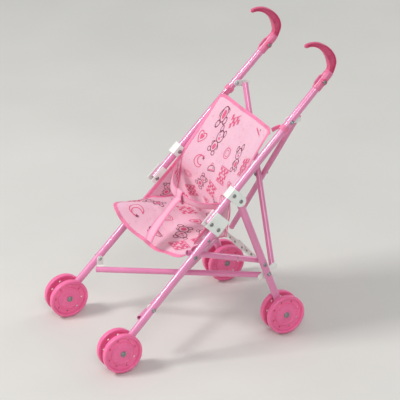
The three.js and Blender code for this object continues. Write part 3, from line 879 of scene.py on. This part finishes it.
# u runs across from -1 on the right to 1, and v up from the seam.
def back_point(u, v):
    blend = 1 - abs(u) ** 2.6
    y, z = spline(BACK_SIDE, v).lerp(spline(BACK_MIDDLE, v), blend)
    x = (inner_x(z) - 1.6) * u
    corner = max(0, abs(u) - 0.86) / 0.14 * max(0, v - 0.93) / 0.07
    z -= 7 * corner**2
    y -= 4 * corner**2
    free = (1 - u**4) * (1 - 0.4 * v)
    y += crumple(x, v * 200, 3, 42, 2.3 * free) + 1.6 * math.sin(9 * v + 2 * u) * (1 - v) * free
    return yz(x, y, z)


# x, y and z of the base's front edge, from the right tip to the left front leg.
FRONT_EDGE = [
    (-97, 132, 204),
    (-97, 108, 209),
    (-93, 92, 213),
    (-82, 83, 211),
    (-64, 88, 193),
    (-45, 99, 176),
    (-22, 112, 163),
    (5, 124, 156.5),
    (32, 134, 156),
    (60, 143, 163),
    (82, 149, 176),
    (97, 150.5, 196),
]


def base_point(u, v):
    share = (u + 1) / 2
    fx, fy, fz = spline(FRONT_EDGE, share)
    rear = Vector(((inner_x(SEAM[1]) - 5) * u, *Vector(SEAM).lerp(Vector(CORNER), abs(u) ** 2.6)))
    front = Vector((fx, fy, fz))
    mid = (rear + front) / 2
    belly = 1 - u * u
    mid.z += 7 * belly + (7 if u < 0 else 3) * u * u
    mid.y -= 9 * belly
    a, b = rear.lerp(mid, v), mid.lerp(front, v)
    x, y, z = a.lerp(b, v)
    edge = math.sin(math.pi * min(v * 1.15, 1)) * 0.6 + 0.4 * v
    z += crumple(x, y, 11, 34, 3.6 * edge) + crumple(x, y, 5, 15, 0.8 * edge)
    z += 1.5 * math.sin(0.11 * x + 4.5 * v) * v * belly
    return yz(x, y, z)


SIDE_TOP = [(151, 207), (176, 231), (199, 254), (222, 278)]


# One side's triangle of cloth: u runs back along the tube, and v up from the base's edge.
def side_point(sign, u, v):
    ty, tz = spline(SIDE_TOP, u)
    bend = 0.62
    if u < bend:
        low = Vector((152, 200)).lerp(Vector(CORNER), u / bend)
    else:
        low = Vector(CORNER).lerp(Vector((222, 268)), (u - bend) / (1 - bend))
    y, z = low.lerp(Vector((ty, tz)), v)
    x = (inner_x(z) - 2.2) - 3.4 * (1 - v) + crumple(y, z, 5 + sign, 30, 0.9)
    return yz(sign * x, y, z)


class Sheet:
    """A grid of points on a piece of cloth, that prints and tapes can be laid on."""

    def __init__(self, point, across, up, columns, rows, face=1):
        self.flat = (across, up)
        self.face = face  # the printed side: 1 along the grid's own normal
        self.grid = [
            [point(2 * i / columns - 1, j / rows) for i in range(columns + 1)]
            for j in range(rows + 1)
        ]

    def at(self, u, v, lift=0.0):
        rows, columns = len(self.grid) - 1, len(self.grid[0]) - 1
        s = min(max((u + 1) / 2, 0), 1) * columns
        t = min(max(v, 0), 1) * rows
        i, j = min(int(s), columns - 1), min(int(t), rows - 1)
        s, t = s - i, t - j
        a, b = self.grid[j][i], self.grid[j][i + 1]
        c, d = self.grid[j + 1][i], self.grid[j + 1][i + 1]
        place = a.lerp(b, s).lerp(c.lerp(d, s), t)
        if lift:
            place = place + (b - a).cross(c - a).normalized() * (lift * self.face)
        return place

    def mesh(self):
        bm = bmesh.new()
        verts = [[bm.verts.new(p) for p in row] for row in self.grid]
        layer = bm.loops.layers.uv.new("cloth")
        rows, columns = len(verts) - 1, len(verts[0]) - 1
        for j in range(rows):
            for i in range(columns):
                corners = ((i, j), (i + 1, j), (i + 1, j + 1), (i, j + 1))
                face = bm.faces.new([verts[b][a] for a, b in corners])
                for loop, (a, b) in zip(face.loops, corners):
                    loop[layer].uv = (a / columns * self.flat[0], b / rows * self.flat[1])
        return bm


CLOTH_THICK = 0.45 * MM


def soft(made):
    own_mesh(made)


def cloth_piece(name, bm, look, body, nodes=(), sharp=math.pi):
    made = piece(name, bm, look, body, nodes, sharp)
    thick = made.modifiers.new("thickness", "SOLIDIFY")
    thick.thickness = CLOTH_THICK
    thick.offset = 0
    return made


# ---- Tape and binding ------------------------------------
# A closed band along a line. Each station gives its place, the way across it, and its half
# width; the band is thick along the third direction. UVs: u along in metres, v across.
def band_mesh(stations, thick, loop=False):
    shape = [(-1, 0.3), (-0.8, 1), (-0.35, 0.75), (0.35, 0.75), (0.8, 1), (1, 0.3)]
    shape += [(a, -b) for a, b in reversed(shape)]
    bm = bmesh.new()
    layer = bm.loops.layers.uv.new("tape")
    rings, run, count = [], [0.0], len(stations)
    for i, (place, across, half) in enumerate(stations):
        before = stations[i - 1][0] if i or loop else place
        after = stations[(i + 1) % count][0] if i < count - 1 or loop else place
        along = (after - before).normalized()
        side = (across - along * across.dot(along)).normalized()
        up = along.cross(side)
        rings.append([bm.verts.new(place + side * (a * half) + up * (b * thick / 2)) for a, b in shape])
        if i:
            run.append(run[-1] + (place - stations[i - 1][0]).length)
    last = count if loop else count - 1
    for i in range(last):
        a, b = rings[i], rings[(i + 1) % count]
        far = run[i + 1] if i + 1 < count else run[i] + (stations[0][0] - stations[i][0]).length
        for k in range(len(shape)):
            m = (k + 1) % len(shape)
            face = bm.faces.new((a[k], a[m], b[m], b[k]))
            for corner, (u, v) in zip(
                face.loops,
                ((run[i], shape[k][0]), (run[i], shape[m][0]), (far, shape[m][0]), (far, shape[k][0])),
            ):
                corner[layer].uv = (u, v)
    if not loop:
        bm.faces.new(list(reversed(rings[0])))
        bm.faces.new(rings[-1])
    bmesh.ops.recalc_face_normals(bm, faces=bm.faces)
    return bm


BINDING_HALF = 3.2 * MM
BINDING_THICK = 1.5 * MM


# A satin binding folded over a sheet's edge, along a path of (u, v), with its inner edge
# towards (u, v) pairs given by inward(u, v).
def binding(name, sheet, path, inward, body, steps=90):
    stations = []
    for i in range(steps + 1):
        u, v = spline(path, i / steps)
        edge = sheet.at(u, v)
        iu, iv = inward(u, v)
        inner = sheet.at(iu, iv)
        across = (inner - edge).normalized()
        pucker = 0.25 * MM * math.sin(i * 1.9) + 0.3 * MM * noise.noise(edge * 90)
        stations.append((edge + across * (BINDING_HALF * 0.72 + pucker * 0.4), across, BINDING_HALF + pucker))
    made = piece(name, band_mesh(stations, BINDING_THICK), "satin", body, (), math.pi)
    soft(made)
    return made


# ---- Printed motifs, in millimetres about their own middles 
def circle(x, y, rx, ry=None, steps=20, start=0.0, turn=2 * math.pi):
    ry = ry or rx
    count = steps if turn < 6.28 else steps - 1
    return [
        (x + rx * math.cos(start + turn * i / steps), y + ry * math.sin(start + turn * i / steps))
        for i in range(count + 1)
    ]


# Each motif is a list of (kind, colour, points, width): line, loop or fill.
def bear():
    plum = "dark_print"
    return [
        ("loop", plum, circle(0, 5.2, 5, 4.3), 0.75),
        ("loop", plum, circle(-4.2, 9.2, 2.1), 0.7),
        ("loop", plum, circle(4.2, 9.2, 2.1), 0.7),
        ("loop", plum, circle(0, -3.6, 4.4, 4.8), 0.75),
        ("loop", plum, circle(-4.4, -8.4, 2.5, 2), 0.8),
        ("loop", plum, circle(4.4, -8.4, 2.5, 2), 0.8),
        ("line", plum, [(-3.6, 0), (-6.6, -2.4), (-5.6, -4)], 0.8),
        ("line", plum, [(3.6, 0), (6.6, -2.4), (5.6, -4)], 0.8),
        ("fill", plum, circle(-1.8, 6, 0.55, steps=8), 0),
        ("fill", plum, circle(1.8, 6, 0.55, steps=8), 0),
        ("fill", "pink_print", circle(0, 3.9, 1.5, 1, steps=12), 0),
        ("fill", "pink_print", circle(0, -3.8, 2.4, 2.7, steps=14), 0),
    ]


def patch():
    rose = "pink_print"
    made = [("loop", rose, [(-8.5, -8), (8.5, -8), (8.5, 8), (-8.5, 8)], 1.1)]
    for i in range(5):
        for j in range(5):
            if (i, j) == (2, 2) or (i + j) % 2:
                continue
            x, y = -7.5 + 3 * i, -7 + 2.8 * j
            made.append(("fill", rose, [(x, y), (x + 3, y), (x + 3, y + 2.8), (x, y + 2.8)], 0))
    for level in (-4.4, -1.5, 1.5, 4.4):
        made.append(("line", rose, [(-8, level), (8, level)], 0.6))
        made.append(("line", rose, [(level, -8), (level, 8)], 0.6))
    return made


def crescent():
    outer = circle(0, 0, 6, 6.4, 16, 0.9, 4.3)
    inner = circle(2.3, 1.3, 4.4, 4.7, 16, 0.75, 4.6)
    star = [
        (5 + r * math.cos(a), 4 + r * math.sin(a))
        for k in range(10)
        for r, a in ((2.2 if k % 2 == 0 else 0.95, math.pi * k / 5),)
    ]
    return [("loop", "pink_print", outer + inner[::-1], 0.9), ("fill", "dark_print", star, 0)]


def heart():
    line = [
        (0.36 * 16 * math.sin(t) ** 3, 0.36 * (13 * math.cos(t) - 5 * math.cos(2 * t) - 2 * math.cos(3 * t)))
        for t in (2 * math.pi * i / 26 for i in range(26))
    ]
    inner = [(x * 0.5, y * 0.5) for x, y in line]
    return [("loop", "pink_print", line, 0.9), ("fill", "pink_print", inner, 0)]


def bonnet():
    plum = "dark_print"
    return [
        ("loop", plum, circle(0, 0, 6.6, 4.6, 18, 0, math.pi) + [(-6.6, -1.6), (6.6, -1.6)], 0.75),
        ("line", "pink_print", [(-6.4, -0.2), (6.4, -0.2)], 0.9),
        ("loop", "pink_print", circle(0, 5.6, 1.5, steps=12), 0.7),
        ("fill", plum, circle(3, 2, 0.8, steps=8), 0),
    ]


def ring():
    return [
        ("loop", "pink_print", circle(0, 0, 5.4, 4.4), 0.7),
        ("loop", "pink_print", circle(0, 0, 3.4, 2.6), 0.5),
    ]


MOTIFS = [bear, patch, crescent, bonnet, patch, heart, bear, ring]
MOTIF_PITCH = (41, 37)  # millimetres of cloth between motifs, across and up
MOTIF_SIZE = 1.7
SPECK_PITCH = 12
PRINT_LIFT = 0.6 * MM


# Lays printed shapes on a sheet. inside(u, v) says whether a place is clear of the edges.
def print_on(name, sheet, body, inside, seed, squashed=True):
    draw = random.Random(seed)
    across, up = sheet.flat[0] / MM, sheet.flat[1] / MM
    found = {"dark_print": bmesh.new(), "pink_print": bmesh.new()}

    def place(x, y):
        return sheet.at(2 * x / across, y / up, PRINT_LIFT)

    def stroke(bm, points, width, closed):
        count = len(points)
        rails = []
        for i, (x, y) in enumerate(points):
            px, py = points[i - 1] if i or closed else (x, y)
            nx, ny = points[(i + 1) % count] if i < count - 1 or closed else (x, y)
            dx, dy = nx - px, ny - py
            size = math.hypot(dx, dy) or 1
            ox, oy = -dy / size * width / 2, dx / size * width / 2
            rails.append((bm.verts.new(place(x + ox, y + oy)), bm.verts.new(place(x - ox, y - oy))))
        for i in range(count if closed else count - 1):
            a, b = rails[i], rails[(i + 1) % count]
            bm.faces.new((a[0], b[0], b[1], a[1]))

    def stamp(shapes, cx, cy, turn, size):
        c, s = math.cos(turn) * size, math.sin(turn) * size
        for kind, colour, points, width in shapes:
            moved = [(cx + x * c - y * s, cy + x * s + y * c) for x, y in points]
            if not all(inside(2 * x / across, y / up) for x, y in moved):
                continue
            bm = found[colour]
            if kind == "fill":
                middle_x = sum(p[0] for p in moved) / len(moved)
                middle_y = sum(p[1] for p in moved) / len(moved)
                hub = bm.verts.new(place(middle_x, middle_y))
                rim = [bm.verts.new(place(x, y)) for x, y in moved]
                for a, b in zip(rim, rim[1:] + rim[:1]):
                    bm.faces.new((hub, a, b))
            else:
                stroke(bm, moved, width * size, kind == "loop")

    for row in range(int(up / MOTIF_PITCH[1]) + 1):
        y = (row + 0.5) * MOTIF_PITCH[1]
        for column in range(-4, 5):
            x = (column + (row % 2) / 2) * MOTIF_PITCH[0]
            jitter = draw.uniform(-3, 3), draw.uniform(-3, 3), draw.uniform(-0.6, 0.6)
            if inside(2 * x / across, y / up):
                motif = MOTIFS[(column + 3 * row + seed) % len(MOTIFS)]
                stamp(motif(), x + jitter[0], y + jitter[1], jitter[2], MOTIF_SIZE * draw.uniform(0.9, 1.05))
    for row in range(int(up / SPECK_PITCH) + 1):
        for column in range(int(across / SPECK_PITCH) + 1):
            x = (column + draw.uniform(0, 1)) * SPECK_PITCH - across / 2
            y = (row + draw.uniform(0, 1)) * SPECK_PITCH
            turn = draw.uniform(0, math.pi)
            if draw.random() < 0.55:
                stamp([("line", "pink_print", [(-0.9, 0), (0, 0.2), (0.9, 0)], 0.5)], x, y, turn, 1)
    for colour, bm in found.items():
        if not bm.faces:
            bm.free()
            continue
        bmesh.ops.recalc_face_normals(bm, faces=bm.faces)
        made = piece(f"{name}_{colour}", bm, colour, body, (), math.pi)
        if squashed:
            soft(made)


def make_sling():
    back = Sheet(back_point, 0.2, 0.215, 72, 80)
    made = cloth_piece("seat_back_cloth", back.mesh(), "cloth", "seat", ["seat_back"])
    soft(made)
    print_on("back_print", back, "seat", lambda u, v: abs(u) < 0.93 and 0.02 < v < 0.96, 3)
    binding("back_top_binding", back, [(-1, 1), (-0.5, 1), (0, 1), (0.5, 1), (1, 1)],
            lambda u, v: (u, 0.97), "seat")
    for name, u in (("left", 1), ("right", -1)):
        binding(f"back_{name}_binding", back, [(u, 0), (u, 0.33), (u, 0.66), (u, 1)],
                lambda a, v, u=u: (u * 0.96, v), "seat")

    base = Sheet(base_point, 0.2, 0.125, 72, 52, -1)
    made = cloth_piece("seat_base_cloth", base.mesh(), "cloth", "seat_base", ["seat_base"])
    soft(made)
    print_on("base_print", base, "seat_base", lambda u, v: abs(u) < 0.92 and 0.03 < v < 0.94, 5)
    around = [(-1, 0), (-1, 0.5), (-1, 1), (-0.5, 1), (0, 1), (0.5, 1), (1, 1), (1, 0.5), (1, 0)]
    binding("base_binding", base, around, base_inward, "seat_base", 220)

    for sign, name in ((1, "left"), (-1, "right")):
        side = Sheet(lambda u, v, s=sign: side_point(s, (u + 1) / 2, v), 0.1, 0.06, 40, 24, -sign)
        made = cloth_piece(f"seat_side_{name}_cloth", side.mesh(), "cloth", "seat", [f"seat_side_{name}"])
        soft(made)
        print_on(f"side_{name}_print", side, "seat", lambda u, v: -0.6 < u < 0.9 and 0.06 < v < 0.95, 8)
        binding(f"side_{name}_binding", side, [(-1, 1), (-0.3, 1), (0.3, 1), (1, 1)],
                lambda u, v: (u, 0.9), "seat", 60)


def base_inward(u, v):
    if v > 0.97 and abs(u) < 0.99:
        return u, v - 0.06
    return u * 0.94, min(v, 0.97)


# ---- Straps ----------------------------------------------
BELT_HALF = 9.3 * MM
STRAP_HALF = 10.8 * MM
BELT_THICK = 1.7 * MM
BUCKLE = (0, 174, 247)  # x, y, z where the strap meets the belt
BELT_LINE = [(-96, 214, 261), (-74, 195, 254), (-40, 179, 248), BUCKLE, (40, 180, 249),
             (72, 194, 254), (96, 211, 261)]
STRAP_LINE = [(0, 172.5, 246), (-1, 161, 236), (-1, 146, 220), (0, 130, 204), (3, 116, 188), (5, 110, 176)]


def make_straps():
    stations = []
    for i in range(61):
        share = i / 60
        x, y, z = spline(BELT_LINE, share)
        twist = 0.5 * math.sin(5 * share + 0.4) - 0.2
        across = Vector((0, math.sin(twist), math.cos(twist)))
        ruck = 0.8 * MM * noise.noise(Vector((share * 9, 0, 4)))
        stations.append((yz(x, y + 0.8 * math.sin(14 * share), z), across, BELT_HALF + ruck))
    made = piece("lap_belt_tape", band_mesh(stations, BELT_THICK), "belt", "seat", ["lap_belt"],
                 math.pi)
    soft(made)

    stations = []
    for i in range(41):
        share = i / 40
        x, y, z = spline(STRAP_LINE, share)
        lean = 0.18 * math.sin(6 * share)
        ruck = 0.7 * MM * noise.noise(Vector((share * 8, 5, 1)))
        across = Vector((math.cos(lean), 0, math.sin(lean)))
        stations.append((yz(x, y, z), across, STRAP_HALF + ruck))
    made = piece("crotch_strap_tape", band_mesh(stations, BELT_THICK), "belt", None,
                 ["crotch_strap"], math.pi)
    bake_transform(made)

    # The strap's end is sewn round the belt.
    stations = []
    for i in range(28):
        angle = 2 * math.pi * i / 28
        x, y, z = BUCKLE
        place = yz(x, y + 3.4 * math.cos(angle), z + 11.4 * math.sin(angle))
        stations.append((place, Vector((1, 0, 0)), STRAP_HALF))
    made = piece("strap_loop_tape", band_mesh(stations, BELT_THICK * 0.8, loop=True), "belt", "seat",
                 (), math.pi)
    soft(made)


LOOP_ALONG = 207  # from the knee, along the push tube
TAIL_END_ALONG = 192
SEAT_SCREW_ALONG = -25


# Tape loops round the push tubes at the back's top corners, each with a tail.
def make_ties():
    ring = MAIN_R + 1.3 * MM
    centre = on_push(LOOP_ALONG)
    stations = []
    for i in range(36):
        angle = 2 * math.pi * i / 36
        reach = ring + 0.5 * MM * noise.noise(Vector((math.cos(angle), math.sin(angle), 2)))
        place = centre + (OUT * math.cos(angle) + BEHIND * math.sin(angle)) * reach
        stations.append((place, PUSH, 4.6 * MM))
    pair("tie_loop", band_mesh(stations, 1.2 * MM, loop=True), "satin", "push", ())
    start, end = on_push(LOOP_ALONG, -4, -7.6), on_push(TAIL_END_ALONG, -10, -12)
    stations = []
    for i in range(15):
        share = i / 14
        place = start.lerp(end, share) - OUT * (1.2 * MM * math.sin(math.pi * share))
        stations.append((place, BEHIND, 4.2 * MM))
    pair("tie_tail", band_mesh(stations, 1.2 * MM), "satin", "push", ())


# The screws that hold the cloth to the front legs, with a white washer inside.
def make_seat_screws():
    screw = on_push(SEAT_SCREW_ALONG, STAGGER / MM)
    seat = MAIN_R + 0.15 * MM
    outline = [(seat, 0), (seat, 4.9 * MM), (seat + 0.5 * MM, 5.2 * MM), (seat + 1.1 * MM, 4.9 * MM),
               (seat + 1.3 * MM, 2.6 * MM), (seat + 1.3 * MM, 0)]
    washer = lathe(outline, facing(screw, -OUT), 28)
    pair("seat_screw_washer", washer, "white", "front_leg", ())
    for name, way, lift in (("outer", OUT, -0.2 * MM), ("inner", -OUT, 1.2 * MM)):
        head = [(x + lift, r) for x, r in [(seat, 0)] + head_outline(seat, 2.6 * MM)]
        pair(f"seat_screw_{name}_head", lathe(head, facing(screw, way), 20), "steel", "front_leg",
             ())


# ---- Stage -----------------------------------------------
def make_stage():
    floor_shader = Shader("floor", Roughness=0.6)
    tone = floor_shader.ramp(floor_shader.noise(3, 4), 0.3, 0.7, shade("d3d0ca"), shade("d9d6d0"))
    floor_shader.set(Base_Color=tone)
    bm = bmesh.new()
    bmesh.ops.create_grid(bm, x_segments=1, y_segments=1, size=12)
    data = bpy.data.meshes.new("floor")
    bm.to_mesh(data)
    bm.free()
    data.materials.append(floor_shader.material)
    floor = bpy.data.objects.new("floor", data)
    floor.location.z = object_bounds()[0].z
    bpy.context.scene.collection.objects.link(floor)

    world = bpy.data.worlds.new("studio")
    world.use_nodes = True
    sky = world.node_tree.nodes["Background"]
    sky.inputs["Color"].default_value = shade("dfe3e6")
    sky.inputs["Strength"].default_value = 0.62
    bpy.context.scene.world = world
    bpy.context.scene.view_settings.view_transform = "Standard"

    for name, place, size, power in (
        ("key", (-0.6, -2.2, 2.45), 0.8, 62),
        ("fill", (2.4, -0.9, 2.3), 1.2, 26),
        ("rim", (-0.6, 2.4, 1.9), 1.4, 16),
    ):
        lamp = bpy.data.lights.new(name, "AREA")
        lamp.size = size
        lamp.energy = power
        holder = bpy.data.objects.new(name, lamp)
        holder.location = place
        aim = Vector((0, 0, 0.2)) - holder.location
        holder.rotation_mode = "QUATERNION"
        holder.rotation_quaternion = aim.to_track_quat("-Z", "Y")
        bpy.context.scene.collection.objects.link(holder)


make_tubes()
make_rivets()
make_clip_caps()
make_fittings()
make_spreader_details()
make_wheels()
make_grips()
make_sling()
make_straps()
make_ties()
make_seat_screws()
make_stage()
